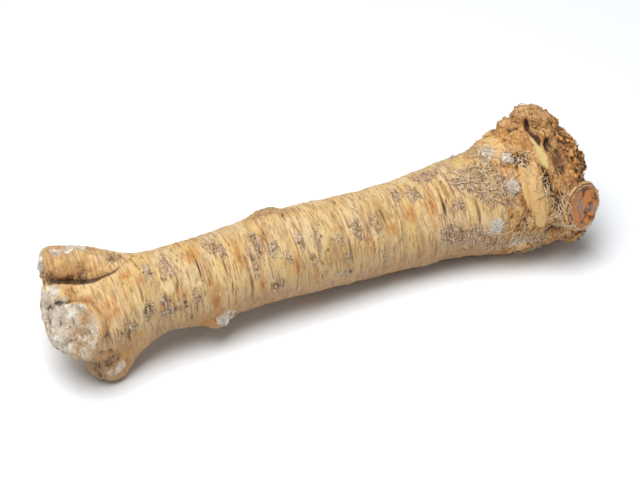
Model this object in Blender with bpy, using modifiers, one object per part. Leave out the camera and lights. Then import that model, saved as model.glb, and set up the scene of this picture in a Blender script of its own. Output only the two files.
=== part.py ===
"""A horseradish root, lying on a table as it comes to rest after it is lifted and trimmed.

X runs along the root from its forked lower end to its crown, Z is up, and the table is the plane Z = 0.
The root grew as one piece, so it is one solid: limbs swept along their own lines, fused and softened,
then trimmed flat where a knife or a break has left an old face. All lengths below are in millimetres.
"""

import bmesh
import bpy
from mathutils import Vector

MM = 0.001

# Each limb is a line of stations: x, y, z of its middle, and its radius there.
TAPROOT = (
    (-126, -6, 31, 9),
    (-118, -5, 31.5, 13.5),
    (-107, -3, 32.5, 17.5),
    (-96, 0, 32, 20.5),
    (-82, 1, 31, 21.2),
    (-64, 1, 30, 22),
    (-40, 3, 29.5, 22.2),
    (-12, 4, 28.5, 23.2),
    (16, 4.5, 26.5, 23.2),
    (44, 5.5, 25, 23.6),
    (66, 5, 25.5, 24.8),
    (84, 3, 27, 26.8),
    (98, 1, 28.3, 29.2),
    (110, 0, 30.6, 32),
    (121, 0, 33, 34.5),
    (130, 1, 35.5, 34),
    (137, 2, 38.5, 30),
    (142, 2, 40, 22),
)
FINGER = ((-90, 5, 34, 12), (-104, 12.5, 39.5, 11), (-115, 18, 43.5, 10), (-126, 22.5, 46, 9.8), (-139, 24.5, 47, 10))
KNUCKLE = ((-108, 2, 32, 13), (-122, 4, 34, 11.5), (-132, 5.5, 37, 10), (-144, 5, 38.5, 9))
HEEL = ((-102, -4, 31, 17.5), (-112, -9, 32, 14), (-120, -13, 33, 12.8), (-129, -15.5, 34.5, 14.5), (-138, -17, 35, 14.5))
TOE = ((-122, -6, 31, 12), (-136, -9, 31, 11.5), (-144, -10.5, 31.5, 10))
FOOT = ((-98, -3, 27, 17), (-110.5, -8, 19, 14.5), (-118.5, -12, 10, 12), (-121, -14, 1, 10.5))
BODY_STUBS = (
    ((-62, -3, 23, 13), (-61, -15, 14.5, 9.5)),
    ((-24, 8, 38, 17), (-20, 18, 45.5, 9.5)),
)
CROWN_STUBS = (
    ((123, 4, 48, 20), (125, 12, 62, 11), (126.5, 14.5, 72.5, 7.5)),
    ((100, 2, 42, 20), (101, 10, 57, 9)),
    ((121, -12, 34, 20), (129, -24, 36, 16.5), (132.5, -32, 37, 15.5), (134.5, -36, 37.5, 13.5)),
    ((118, 10, 26, 22), (114, 25, 12, 13), (112, 30, 2, 9)),
    ((124, 5, 40, 20), (138, 5, 45, 16), (147, 5, 48, 13)),
    ((120, -6, 25, 20), (132, -15, 20.5, 15.5), (140, -19, 19.5, 12)),
    ((124, -4, 42, 20), (137, -7, 49, 15), (144, -9, 50, 11)),
)

WELD_DISTANCE = 0.01
LIMB_SIDES = 6
VOXEL = 1.4
SOFTENING_PASSES = 5
LUMP_HEIGHT = 2.0
LUMP_SPACING = 26.0
FACE_SIDE = 3.7

# Old cut faces: a point on the face, and the way it looks out.
CUTS = (
    ((-136.5, -16, 35), (-0.78, -0.34, 0.53)),
    ((-140.5, 25, 46), (-0.95, 0.1, 0.3)),
    ((135, -33.5, 37), (0.3, -0.91, 0.28)),
)
CUTTER_SIDE = 34.0

# The table takes a thin slice off whatever would reach below it, so each resting spot is flat.
TABLE = ((0, 0, 0), (0, 0, -1))
TABLE_SIDE = 400.0

SKIN_COLOUR = (0.66, 0.47, 0.24, 1.0)
SKIN_ROUGHNESS = 0.8


def clear_scene():
    """Removes every object that the file opened with."""
    for obj in list(bpy.data.objects):
        bpy.data.objects.remove(obj)


def new_collection(name):
    """A collection of that name, linked to the scene."""
    made = bpy.data.collections.new(name)
    bpy.context.scene.collection.children.link(made)
    return made


def limb(name, stations):
    """A round limb swept through its stations, with rounded changes of radius, as a curve object."""
    curve = bpy.data.curves.new(name, "CURVE")
    curve.dimensions = "3D"
    curve.bevel_depth = MM
    curve.bevel_resolution = LIMB_SIDES
    curve.use_fill_caps = True
    spline = curve.splines.new("BEZIER")
    spline.radius_interpolation = "CARDINAL"
    spline.bezier_points.add(len(stations) - 1)
    for point, (x, y, z, radius) in zip(spline.bezier_points, stations):
        point.co = Vector((x, y, z)) * MM
        point.radius = radius
        point.handle_left_type = point.handle_right_type = "AUTO"
    return bpy.data.objects.new(name, curve)


def fused(name, limbs, collection):
    """One mesh object holding every limb, each with its caps welded."""
    whole = bmesh.new()
    for curve in limbs:
        collection.objects.link(curve)
        graph = bpy.context.evaluated_depsgraph_get()
        whole.from_mesh(bpy.data.meshes.new_from_object(curve.evaluated_get(graph)))
        bpy.data.objects.remove(curve)
    bmesh.ops.remove_doubles(whole, verts=whole.verts, dist=WELD_DISTANCE * MM)
    mesh = bpy.data.meshes.new(name)
    whole.to_mesh(mesh)
    whole.free()
    root = bpy.data.objects.new(name, mesh)
    collection.objects.link(root)
    return root


def soften(root):
    """Joins the limbs into one skin, rounds the forks, and gives it the slow swellings of a grown root."""
    skin = root.modifiers.new("one skin", "REMESH")
    skin.mode = "VOXEL"
    skin.voxel_size = VOXEL * MM
    smooth = root.modifiers.new("rounded forks", "SMOOTH")
    smooth.factor = 0.5
    smooth.iterations = SOFTENING_PASSES
    lumps = bpy.data.textures.new("lumps", "CLOUDS")
    lumps.noise_scale = LUMP_SPACING * MM
    lumps.noise_depth = 1
    swell = root.modifiers.new("swellings", "DISPLACE")
    swell.texture = lumps
    swell.texture_coords = "LOCAL"
    swell.strength = LUMP_HEIGHT * MM
    swell.mid_level = 0.5
    plain = root.modifiers.new("even faces", "REMESH")
    plain.mode = "VOXEL"
    plain.voxel_size = FACE_SIDE * MM
    ease = root.modifiers.new("eased faces", "SMOOTH")
    ease.factor = 0.5
    ease.iterations = 2


def cutter(name, point, outward, side, collection):
    """A cube of that side whose inner face is the plane through point that looks along outward."""
    half = side / 2
    outward = Vector(outward).normalized()
    bpy.ops.mesh.primitive_cube_add(size=side * MM)
    block = bpy.context.active_object
    block.name = name
    block.rotation_mode = "QUATERNION"
    block.rotation_quaternion = outward.to_track_quat("Z", "Y")
    block.location = (Vector(point) + outward * half) * MM
    block.hide_render = True
    block.display_type = "WIRE"
    for owner in list(block.users_collection):
        owner.objects.unlink(block)
    collection.objects.link(block)
    return block


def trim(root, block):
    """Cuts the block away from the root."""
    cut = root.modifiers.new(block.name, "BOOLEAN")
    cut.operation = "DIFFERENCE"
    cut.object = block


def skin_material():
    """The pale corky skin."""
    made = bpy.data.materials.new("horseradish skin")
    made.use_nodes = True
    shader = made.node_tree.nodes["Principled BSDF"]
    shader.inputs["Base Color"].default_value = SKIN_COLOUR
    shader.inputs["Roughness"].default_value = SKIN_ROUGHNESS
    shader.inputs["Metallic"].default_value = 0.0
    return made


def set_down(root, pieces, collection):
    """Moves the root and its cutters together, so the middle of its box stands over the origin."""
    bpy.context.view_layer.update()
    shape = root.evaluated_get(bpy.context.evaluated_depsgraph_get()).to_mesh()
    corners = [vertex.co.copy() for vertex in shape.vertices]
    middle_x = (min(c.x for c in corners) + max(c.x for c in corners)) / 2
    middle_y = (min(c.y for c in corners) + max(c.y for c in corners)) / 2
    resting_place = bpy.data.objects.new("resting place", None)
    collection.objects.link(resting_place)
    for piece in pieces:
        piece.parent = resting_place
    resting_place.location = (-middle_x, -middle_y, 0.0)


def main():
    clear_scene()
    parts = new_collection("horseradish root")
    cutters = new_collection("cutters")
    lines = {"taproot": TAPROOT, "finger": FINGER, "knuckle": KNUCKLE, "heel": HEEL, "toe": TOE, "foot": FOOT}
    for number, stations in enumerate(BODY_STUBS + CROWN_STUBS):
        lines[f"stub_{number}"] = stations
    root = fused("horseradish_root", [limb(name, stations) for name, stations in lines.items()], parts)
    soften(root)
    blocks = [cutter(f"cut_{n}", point, outward, CUTTER_SIDE, cutters) for n, (point, outward) in enumerate(CUTS)]
    blocks.append(cutter("table", *TABLE, TABLE_SIDE, cutters))
    for block in blocks:
        trim(root, block)
    root.data.materials.append(skin_material())
    set_down(root, [root] + blocks, cutters)


main()
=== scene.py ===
"""Looks of a horseradish root: ringed corky skin, scars, cut faces and a fibrous crown.

Lengths are in millimetres and become metres only where a mesh is written. X runs along the root to its
crown, Z is up. "Clock" is the angle around the root's own middle line: 0 on top, 90 on the front (-Y),
180 below.
"""

import itertools

import bmesh
import bpy
import numpy as np
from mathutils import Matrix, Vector

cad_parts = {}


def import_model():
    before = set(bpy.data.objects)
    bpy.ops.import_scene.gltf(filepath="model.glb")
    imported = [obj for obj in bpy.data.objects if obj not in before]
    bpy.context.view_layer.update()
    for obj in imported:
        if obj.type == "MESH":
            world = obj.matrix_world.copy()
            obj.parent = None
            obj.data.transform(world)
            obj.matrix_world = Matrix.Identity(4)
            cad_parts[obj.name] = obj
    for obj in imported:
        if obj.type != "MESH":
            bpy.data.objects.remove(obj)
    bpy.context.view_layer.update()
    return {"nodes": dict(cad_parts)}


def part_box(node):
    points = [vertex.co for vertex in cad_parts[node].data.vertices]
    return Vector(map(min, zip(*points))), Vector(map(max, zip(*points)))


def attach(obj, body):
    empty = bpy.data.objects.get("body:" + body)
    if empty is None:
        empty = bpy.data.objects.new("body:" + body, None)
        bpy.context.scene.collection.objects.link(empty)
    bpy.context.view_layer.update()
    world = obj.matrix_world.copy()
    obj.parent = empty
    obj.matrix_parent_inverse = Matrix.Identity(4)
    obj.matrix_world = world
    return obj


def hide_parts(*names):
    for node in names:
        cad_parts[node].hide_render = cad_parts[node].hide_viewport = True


NODE = "horseradish_root"
MM = 0.001
TURN = 2 * np.pi

# ---- Skin mesh -------------------------------------------------------------------------------------------
SUBDIVISIONS = 2
SKIN_VOXEL = 0.86
SOFTENING = 3
WELD_DISTANCE = 0.001
KNOB_ROWS = 17
KNOB_COLUMNS = 32
KNOB_SWELLING = 0.16
TABLE_HEIGHT = 0.0
STRAIGHT_RADIUS = 22.0
SPINE_STEP = 5.0
SPINE_SMOOTHING = 5
HOLLOW_PASSES = 14
NOISE_GAIN = 1.7

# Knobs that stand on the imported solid: middle, three radii, and a turn about Z and then about Y in degrees.
KNOBS = (
    ((-140.8, -10.5, 31), (6.2, 6, 6), 0, 0),
    ((-129, 21.2, 47.3), (14, 10, 8.6), -15, 8),
    ((-115, 16.5, 44), (12, 8.5, 8), -22, 10),
    ((-137, 22, 51.5), (5, 5.4, 5.6), 0, 0),
    ((-124, 21, 51.5), (7.5, 5.5, 5), -14, 6),
    ((-139.5, 17.5, 46), (3.6, 4, 4.2), 0, 0),
    ((-142, 5, 42), (4, 5, 4), 0, 0),
    ((-141, 2, 35), (5, 5, 5), 0, 0),
    ((-135, 6, 42), (7, 6, 5), 0, 0),
    ((-122, -17, 7.5), (5, 4.5, 5), 0, 30),
    ((-119, -19, 12), (6, 3.5, 3.5), 10, 20),
    ((-65.5, -13, 18.5), (8, 7, 5.5), 0, 8),
    ((-59, -12, 18), (5, 5, 4.5), 0, 0),
    ((-25, 17, 46), (9, 5, 4), 0, -4),
    ((121, 12, 68.5), (7, 6, 5.5), -25, 22),
    ((130, 8.5, 64.5), (7, 6.5, 5), -20, 35),
    ((110.5, 15.5, 61.5), (5.5, 5.5, 4.8), 0, 0),
    ((122.5, -3.5, 65.5), (4.2, 4.2, 4.2), 0, 0),
    ((140, -9, 46), (5, 6, 8), 0, 0),
    ((131, -23, 17), (8.5, 7, 8), 0, 0),
    ((138, 10, 26), (6, 8, 7), 0, 0),
    ((126, 27, 44), (7, 6, 8), 0, 0),
    ((118, 30, 30), (6, 5, 6), 0, 0),
)

# Clefts in the skin: a half width, then the line's points, each x, y, z and the depth there.
CLEFTS = (
    (1.4, ((-144, 17, 44, 4), (-135, 12, 45.5, 3.5), (-128, 9.6, 45, 3.5), (-118, 6.8, 46, 3.2),
           (-110, 5.6, 49, 2.2), (-103, 8.8, 50.5, 0.8))),
    (1.6, ((-146, 1, 32, 3), (-146, 3, 38.5, 3.5), (-143.5, 2.4, 41, 3), (-136, -1, 44, 2.2),
           (-130, -2, 45.5, 0.8))),
    (1.5, ((-137, -24, 25, 3), (-132, -26, 26, 3.4), (-127, -24, 25, 3), (-122, -21.5, 23, 1.6))),
    (1.0, ((-127, -24, 28, 1.8), (-124, -24, 33, 1.6), (-121, -22, 39, 0.8))),
    (1.5, ((112, 10, 68, 1.8), (118, 5.5, 69, 2.2), (123, 2.4, 67.5, 2), (130, 1.5, 65, 1))),
    (1.4, ((104, 19, 62, 1.6), (109, 11.5, 64, 1.8), (114, 8, 67, 1.2))),
)

# Marks on the skin: place along, clock angle, half width along, half length around.
SCARS = (
    (-61, 8, 3.0, 4.5), (-57, 15, 2.0, 4), (-39, 22, 2.5, 8), (-32, 37, 3.2, 4.5), (-43, 50, 1.4, 9),
    (-17, 36, 2.2, 4.5), (-25, 53, 1.8, 3.5), (-13, 63, 2.0, 3.5), (-8, 40, 1.2, 6.5), (3, 47, 2.2, 3),
    (13, 40, 3.0, 5.5), (25, 40, 2.4, 5), (6, 73, 1.6, 3), (26, 87, 1.8, 3.5), (41, 10, 2.2, 5),
    (50, 13, 4.0, 5), (-100, 64, 4.0, 4), (-92, 60, 2.0, 4.5), (-90, 78, 5.0, 3), (-33, 88, 3.4, 3),
    (4, 95, 5.0, 2.2), (75, 16, 6.0, 5), (62, -8, 7.0, 5), (66, 86, 6.0, 5), (-27, -24, 6.0, 5),
    (84, 24, 8.0, 9), (91, 38, 5.0, 6), (-110, 76, 3.0, 3), (-76, 70, 1.2, 5), (-82, 76, 1.2, 6),
    (70, 45, 3.0, 4), (-86, 14, 2.0, 6), (-96, 20, 3.0, 5),
)
# Creases that run round the root.
CREASES = (
    (-43.5, 42, 0.7, 9), (-46.5, 78, 0.8, 12), (-38.5, 22, 0.6, 9), (-36, 24, 0.6, 10), (-33.5, 27, 0.6, 8),
    (30, 27, 0.6, 7), (20, 48, 0.5, 8), (-90, 76, 0.7, 5), (-82, 80, 0.7, 6), (-76, 84, 0.6, 6),
    (-9, 44, 0.5, 8), (8, 66, 0.6, 9), (-58, 34, 0.5, 8), (-71, 22, 0.6, 7), (62, 42, 0.8, 18),
    (69, 20, 0.7, 12), (78, 62, 0.8, 14), (55, 92, 0.6, 8), (-102, 40, 0.5, 5), (-112, 86, 0.8, 6),
    (-30, -70, 0.7, 12), (10, -100, 0.7, 14), (45, -130, 0.7, 12), (-70, -110, 0.7, 12), (70, 160, 0.8, 14),
)
# Places where the rings stand up like ropes.
ROPES = (
    (-40, 32, 6, 14), (-72, 42, 8, 12), (-84, 60, 6, 10), (20, 55, 5, 12), (66, 40, 8, 14), (8, 20, 4, 10),
    (-104, 50, 5, 8), (-30, -80, 8, 14), (40, -110, 9, 14), (-60, 170, 8, 14),
)
# Scars on the side away from the front, and below.
HIDDEN_SCARS = (
    (-96, -75, 2.6, 6), (-78, -130, 3.0, 5), (-58, -95, 3.4, 7), (-41, -160, 2.6, 5), (-20, -70, 2.4, 6),
    (-6, -115, 3.2, 7), (18, -150, 2.8, 5), (24, -65, 2.6, 6), (44, -100, 3.4, 8), (63, -140, 4.0, 6),
    (70, -70, 4.0, 7), (84, -105, 5.0, 7), (-30, 150, 2.4, 5), (10, 165, 3.0, 6), (52, 140, 3.6, 6),
)
# Orange-brown stains.
STAINS = (
    (2, 33, 2.0, 1.6), (-38, 15, 4.0, 4), (-41, 78, 2.4, 6), (-83, 57, 3.5, 5), (-119, 41, 5.0, 3),
    (-116, 50, 3.0, 3), (-100, 25, 2.4, 2), (-107, 12, 5.0, 3), (-127, 24, 3.0, 5), (-73, 8, 5.0, 5),
    (-66, 82, 4.0, 14), (-13, 86, 1.8, 6), (32, 50, 3.5, 4), (-92, 66, 5.0, 5), (56, 40, 3.0, 12),
    (-50, 30, 2.0, 9), (-22, 70, 2.0, 8), (18, 62, 2.0, 8), (44, 42, 2.4, 7), (-58, -60, 7.0, 9),
    (-90, -120, 8.0, 8), (0, -90, 8.0, 9), (38, -130, 7.0, 9), (-15, 150, 8.0, 10),
)
# The crown: smooth pale straps, a green one, brown pits, grey cork, white wool.
STRAPS = (
    (103.5, 50, 2.4, 14), (108, 58, 3.4, 15), (97, -14, 6, 12), (107.5, 84, 3, 8), (101, 132, 4, 12),
    (104, -70, 4, 18), (110, -120, 4, 16), (96, 170, 5, 12),
)
GREEN_STRAPS = ((114.5, 27, 2.0, 10),)
PITS = (
    (104.5, 23, 4.0, 6), (113.5, 60, 2.2, 9), (117, 78, 4.5, 9), (123, 38, 4.5, 8), (121, 20, 3.0, 5),
    (117, 2, 2.0, 9), (116, 100, 5.0, 6), (112, -50, 4.0, 9), (122, -95, 5.0, 10), (116, 150, 4.0, 9),
)
GREYS = (
    (86, 28, 9, 16), (79, 14, 6, 8), (94, 50, 6, 8), (76, 92, 9, 9), (88, 112, 9, 8), (64, 80, 7, 8),
    (104, 114, 8, 7), (84, -60, 9, 14), (80, -140, 9, 16), (92, 172, 8, 12),
)
WOOLS = (
    (100.5, 16, 3.4, 3.4), (93, -3, 3.4, 4), (86, 80, 3.8, 5), (98, 108, 3.4, 3.4), (97, 45, 3.0, 4),
    (90, -90, 4, 5), (102, -150, 4, 4),
)
# Spots in space: middle and radius.
# Amber stains; the spots along the finger's cleft are painted shade on the finger's underside.
AMBER_STAIN_AND_SHADE_SPOTS = (
    (-136, 13.5, 48, 6), (-130, 13, 48.5, 6), (-124, 11.5, 49, 6), (-118, 9, 50, 5), (-112, 8, 51, 3.5),
    (-140, 17, 47, 6), (-142, 22, 51, 4), (-127, -17, 47, 6), (-124, -24, 40, 5), (-120, -20, 44, 4),
    (-119, -21, 19, 5), (-114, -22, 16, 5), (-124, -21.5, 20, 4), (-71, -17, 19, 5), (-68, -19, 22, 4),
    (96, -31, 20, 5), (-132, 0, 47, 5), (-134, -4, 44, 4), (-26, 18, 51, 5), (-108, -22, 27, 3),
)
# Broken brown patches; those under the finger, along its cleft, are painted shade.
BROWN_PATCH_AND_SHADE_SPOTS = (
    (-129, -17, 12.5, 3.4), (-133, -22, 22, 4), (-124, -21, 16, 3), (-107, 14, 51, 4.5), (-120, -20, 18, 3),
    (-139, 15, 48, 4), (-127, -19, 7, 3), (-131, 12, 46, 3), (-124, 10.5, 47, 2.5), (-124, -25, 38, 3),
    (-136, -3, 42, 2.5), (-115, -24, 33, 3.5), (-133, 13, 46, 3), (-142, 19, 46, 3),
)
SCALY_SPOTS = (
    (-133, 15, 49, 6), (-141, 19, 49, 6), (-124, 13, 50, 6), (-134, 22, 56, 8), (-125, 23, 56, 7),
    (-116, 20, 54, 6), (-142, 24, 50, 6), (-119, -18, 12, 9), (-122, -22, 8, 7), (-60, -17, 21, 6),
    (-30, 16, 50, 8), (-20, 17, 51, 7),
)
CHALK_SPOTS = (
    (-133, 22, 56, 3.4), (-121, 22, 55, 3), (-118, -21, 12, 3.2), (-123, -21, 9.5, 2.6), (-144, 5, 42, 6.5),
    (-143, 3, 35, 6), (-146, -10, 31, 6), (-141, 22, 52, 4), (-140, 27, 54, 3), (-127, 22.5, 55.5, 3.6),
    (-60, -20, 18, 6), (-64, -21, 20, 4), (-140, 7, 45, 5), (-143, -12, 33, 6), (-140, -9, 35, 6),
    (-139, -16, 29, 6),
)
# The smooth bud at the crown's top, and the brown swirl in the old cut.
BUD_SPOTS = (
    (121, 13, 69.5, 8.5), (129, 9.5, 66, 7.5), (110.5, 15.5, 63, 4.5),
)
SWIRL_SPOTS = (
    (-134.7, -20.6, 37.5, 6.5), (-131.5, -17, 44, 5), (-137, -22, 30, 4.5),
)
# Old leaf bases, left as ledges: place along, height, width of the ramp before the edge.
LEDGES = (
    (60, 0.4, 8), (66, 0.45, 6), (75, 0.45, 8), (83, 0.6, 8), (91, 0.7, 8), (99, 0.9, 8), (111, 1.6, 8),
)

STUB_MIDDLE = (131.2, -31.9, 37.3)
STUB_OUT = (0.3, -0.91, 0.28)
STUB_FACE = 10.8
STUB_RIM = 13.6
HEEL_MIDDLE = (-138.7, -14.6, 35.0)
HEEL_OUT = (-0.78, -0.34, 0.53)


# ---- Whole-array mathematics -----------------------------------------------------------------------------
def ease(value, low, high):
    """0 below low, 1 above high, and the smooth cubic 3t^2 - 2t^3 between them."""
    t = np.clip((value - low) / (high - low), 0.0, 1.0)
    return t * t * (3 - 2 * t)


def bell(distance):
    """The bell curve e^(-d^2)."""
    return np.exp(-distance * distance)


def slope_noise(points, seed):
    """Smooth noise, about -1 to 1: every whole-number corner holds a random slope, and the eight slopes
    around a point are blended by the quintic fade of its place in their cell."""
    draw = np.random.default_rng(seed)
    order = draw.permutation(256)
    slopes = draw.normal(size=(256, 3))
    slopes /= np.linalg.norm(slopes, axis=1)[:, None]
    cell = np.floor(points).astype(np.int64)
    place = points - cell
    fade = place**3 * (place * (place * 6 - 15) + 10)
    total = np.zeros(len(points))
    for corner in itertools.product((0, 1), repeat=3):
        i, j, k = (cell + corner).T & 255
        slope = slopes[order[(order[(order[i] + j) & 255] + k) & 255]]
        weight = np.prod(np.where(np.array(corner) == 1, fade, 1 - fade), axis=1)
        total += weight * ((place - corner) * slope).sum(axis=1)
    return total * NOISE_GAIN


def rough_noise(points, seed, octaves=3, gain=0.5):
    """Octaves of slope noise added up, each twice as fine as the last and gain times as strong."""
    layers = [gain**n * slope_noise(points * 2.0**n, seed + n) for n in range(octaves)]
    return np.sum(layers, axis=0)


def crease_noise(points, seed, octaves=3, gain=0.5):
    """Sharp valleys at 0 and rounded tops towards 1: the size of slope noise, octaves added up."""
    layers = [gain**n * np.abs(slope_noise(points * 2.0**n, seed + n)) for n in range(octaves)]
    return np.sum(layers, axis=0)


def turned(vectors, about_z, about_y):
    """Row vectors turned about Z, and then about Y, by degrees."""
    a, b = np.radians((about_z, about_y))
    spin = np.array(((np.cos(a), np.sin(a), 0), (-np.sin(a), np.cos(a), 0), (0, 0, 1)))
    tip = np.array(((np.cos(b), 0, -np.sin(b)), (0, 1, 0), (np.sin(b), 0, np.cos(b))))
    return vectors @ spin @ tip


# ---- Meshes ----------------------------------------------------------------------------------------------
def put_in_mesh(mesh, points, faces):
    """Fills an empty mesh with points in millimetres and faces that all have the same number of corners."""
    sides = faces.shape[1]
    mesh.vertices.add(len(points))
    mesh.vertices.foreach_set("co", (points * MM).astype(np.float32).ravel())
    mesh.loops.add(faces.size)
    mesh.loops.foreach_set("vertex_index", faces.astype(np.int32).ravel())
    mesh.polygons.add(len(faces))
    mesh.polygons.foreach_set("loop_start", np.arange(0, faces.size, sides, dtype=np.int32))
    mesh.update(calc_edges=True)
    mesh.shade_smooth()


def link(obj):
    """Puts an object in the scene."""
    bpy.context.scene.collection.objects.link(obj)


def new_piece(name, points, faces):
    """A mesh object, at the origin, made of those points and faces."""
    mesh = bpy.data.meshes.new(name)
    put_in_mesh(mesh, points, faces)
    piece = bpy.data.objects.new(name, mesh)
    link(piece)
    return piece


def knob_surface(middle, radii, about_z, about_y, seed):
    """A lumpy ellipsoid: latitude u and longitude v give the unit ball, slope noise swells it by up to a
    sixth, the radii stretch it, and it is turned and moved to its middle."""
    rows, columns = KNOB_ROWS, KNOB_COLUMNS
    latitudes, longitudes = np.linspace(0, np.pi, rows)[1:-1], np.arange(columns) / columns * TURN
    u, v = np.meshgrid(latitudes, longitudes, indexing="ij")
    ball = np.stack((np.sin(u) * np.cos(v), np.sin(u) * np.sin(v), np.cos(u)), axis=-1).reshape(-1, 3)
    ball = np.concatenate((ball, ((0, 0, 1), (0, 0, -1))))
    ball *= 1 + KNOB_SWELLING * slope_noise(ball * 1.7 + seed, seed)[:, None]
    points = turned(ball * radii, about_z, about_y) + middle
    row, column = np.meshgrid(np.arange(rows - 3), np.arange(columns), indexing="ij")
    here, beside = row * columns + column, row * columns + (column + 1) % columns
    sides = np.stack((here, here + columns, beside + columns, beside), axis=-1).reshape(-1, 4)
    ring = np.arange(columns)
    after = (ring + 1) % columns
    top, bottom = len(ball) - 2, len(ball) - 1
    last = (rows - 3) * columns
    caps = np.concatenate((
        np.stack((np.full(columns, top), ring, after), axis=1),
        np.stack((np.full(columns, bottom), last + after, last + ring), axis=1),
    ))
    return points, sides, caps


def add_knobs(shape):
    """Adds every knob's surface to a bmesh, in metres."""
    for seed, (middle, radii, about_z, about_y) in enumerate(KNOBS):
        points, sides, caps = knob_surface(middle, radii, about_z, about_y, seed)
        mesh = bpy.data.meshes.new("knob")
        mesh.from_pydata((points * MM).tolist(), [], sides.tolist() + caps.tolist())
        shape.from_mesh(mesh)
        bpy.data.meshes.remove(mesh)


def grown_skin(solid):
    """The skin's smooth mesh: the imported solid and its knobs, joined and made even."""
    shape = bmesh.new()
    shape.from_mesh(solid.data)
    bmesh.ops.remove_doubles(shape, verts=shape.verts, dist=WELD_DISTANCE * MM)
    add_knobs(shape)
    mesh = bpy.data.meshes.new("skin draft")
    shape.to_mesh(mesh)
    shape.free()
    draft = bpy.data.objects.new("skin draft", mesh)
    link(draft)
    finer = draft.modifiers.new("finer", "SUBSURF")
    finer.levels = finer.render_levels = SUBDIVISIONS
    even = draft.modifiers.new("even", "REMESH")
    even.mode = "VOXEL"
    even.voxel_size = SKIN_VOXEL * MM
    soft = draft.modifiers.new("soft", "SMOOTH")
    soft.factor = 0.5
    soft.iterations = SOFTENING
    made = bpy.data.meshes.new_from_object(draft.evaluated_get(bpy.context.evaluated_depsgraph_get()))
    bpy.data.objects.remove(draft)
    return made


def mesh_arrays(mesh):
    """Points in millimetres, unit normals and edges of a mesh, as arrays."""
    points = np.empty(len(mesh.vertices) * 3, np.float32)
    mesh.vertices.foreach_get("co", points)
    normals = np.empty(len(mesh.vertices) * 3, np.float32)
    mesh.vertex_normals.foreach_get("vector", normals)
    edges = np.empty(len(mesh.edges) * 2, np.int32)
    mesh.edges.foreach_get("vertices", edges)
    points = points.reshape(-1, 3).astype(float) / MM
    return points, normals.reshape(-1, 3).astype(float), edges.reshape(-1, 2)


def neighbour_mean(values, edges):
    """Each point takes the mean of the points that it shares an edge with."""
    ends = np.concatenate((edges[:, 0], edges[:, 1]))
    others = np.concatenate((edges[:, 1], edges[:, 0]))
    count = np.bincount(ends, minlength=len(values))
    sums = [np.bincount(ends, column[others], len(values)) for column in values.T]
    return np.stack(sums, axis=1) / count[:, None]


def hollowness(points, normals, edges, passes):
    """How far, in millimetres, the surface lies below the smoothed surface around it."""
    smooth = points
    for _ in range(passes):
        smooth = neighbour_mean(smooth, edges)
    return ((smooth - points) * normals).sum(axis=1)


# ---- The root's own coordinates --------------------------------------------------------------------------
class Place:
    """Where each skin point is: along the root, round its middle line, and on the straightened root."""

    def __init__(self, points):
        self.points = points
        self.along = points[:, 0]
        stations = np.arange(self.along.min() + SPINE_STEP, self.along.max() - SPINE_STEP, SPINE_STEP)
        slices = [points[np.abs(self.along - station) < SPINE_STEP, 1:] for station in stations]
        middles = np.array([(piece.min(axis=0) + piece.max(axis=0)) / 2 for piece in slices])
        beyond = SPINE_SMOOTHING // 2
        padded = np.pad(middles, ((beyond, beyond), (0, 0)), mode="edge")
        middles = np.mean([padded[n:n + len(middles)] for n in range(SPINE_SMOOTHING)], axis=0)
        across = points[:, 1] - np.interp(self.along, stations, middles[:, 0])
        up = points[:, 2] - np.interp(self.along, stations, middles[:, 1])
        self.radius = np.hypot(across, up)
        self.clock = np.arctan2(-across, up)
        round_front = STRAIGHT_RADIUS * np.sin(self.clock)
        round_top = STRAIGHT_RADIUS * np.cos(self.clock)
        self.straight = np.stack((self.along, round_front, round_top), axis=1)

    def rings(self, pitch, length):
        """Straightened coordinates in which features are pitch wide along and length long around."""
        return self.straight / (pitch, length, length)

    def distance(self, along, clock, half_along, half_around):
        """1 on the edge of an oval mark on the skin, 0 at its middle."""
        turn = (self.clock - np.radians(clock) + np.pi) % TURN - np.pi
        return np.hypot((self.along - along) / half_along, turn * self.radius / half_around)

    def marks(self, ovals, blur, seed):
        """Ragged oval marks: each is a bell over its distance, and slope noise eats into its edge."""
        ragged = 1 + 0.35 * rough_noise(self.rings(blur, blur * 2), seed)
        total = np.zeros(len(self.points))
        for oval in ovals:
            total = np.maximum(total, bell(self.distance(*oval) * ragged))
        return total

    def balls(self, spots, seed):
        """Ragged marks round points in space, each a middle and a radius."""
        ragged = 1 + 0.5 * rough_noise(self.points / 5.0, seed)
        total = np.zeros(len(self.points))
        for x, y, z, radius in spots:
            away = np.linalg.norm(self.points - (x, y, z), axis=1) / radius
            total = np.maximum(total, bell(away * ragged))
        return total


def unit(vector):
    """The vector divided by its own length."""
    return np.array(vector) / np.linalg.norm(vector)


def disc_place(points, middle, out):
    """Height above a face, and distance from its axis, for each point."""
    out = unit(out)
    offset = points - middle
    height = offset @ out
    return height, np.linalg.norm(offset - height[:, None] * out, axis=1)


def disc_angle(points, middle, out):
    """Angle of each point around a face's axis."""
    out = unit(out)
    side = unit(np.cross(out, (0, 0, 1)))
    offset = points - middle
    return np.arctan2(offset @ np.cross(out, side), offset @ side)


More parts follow.
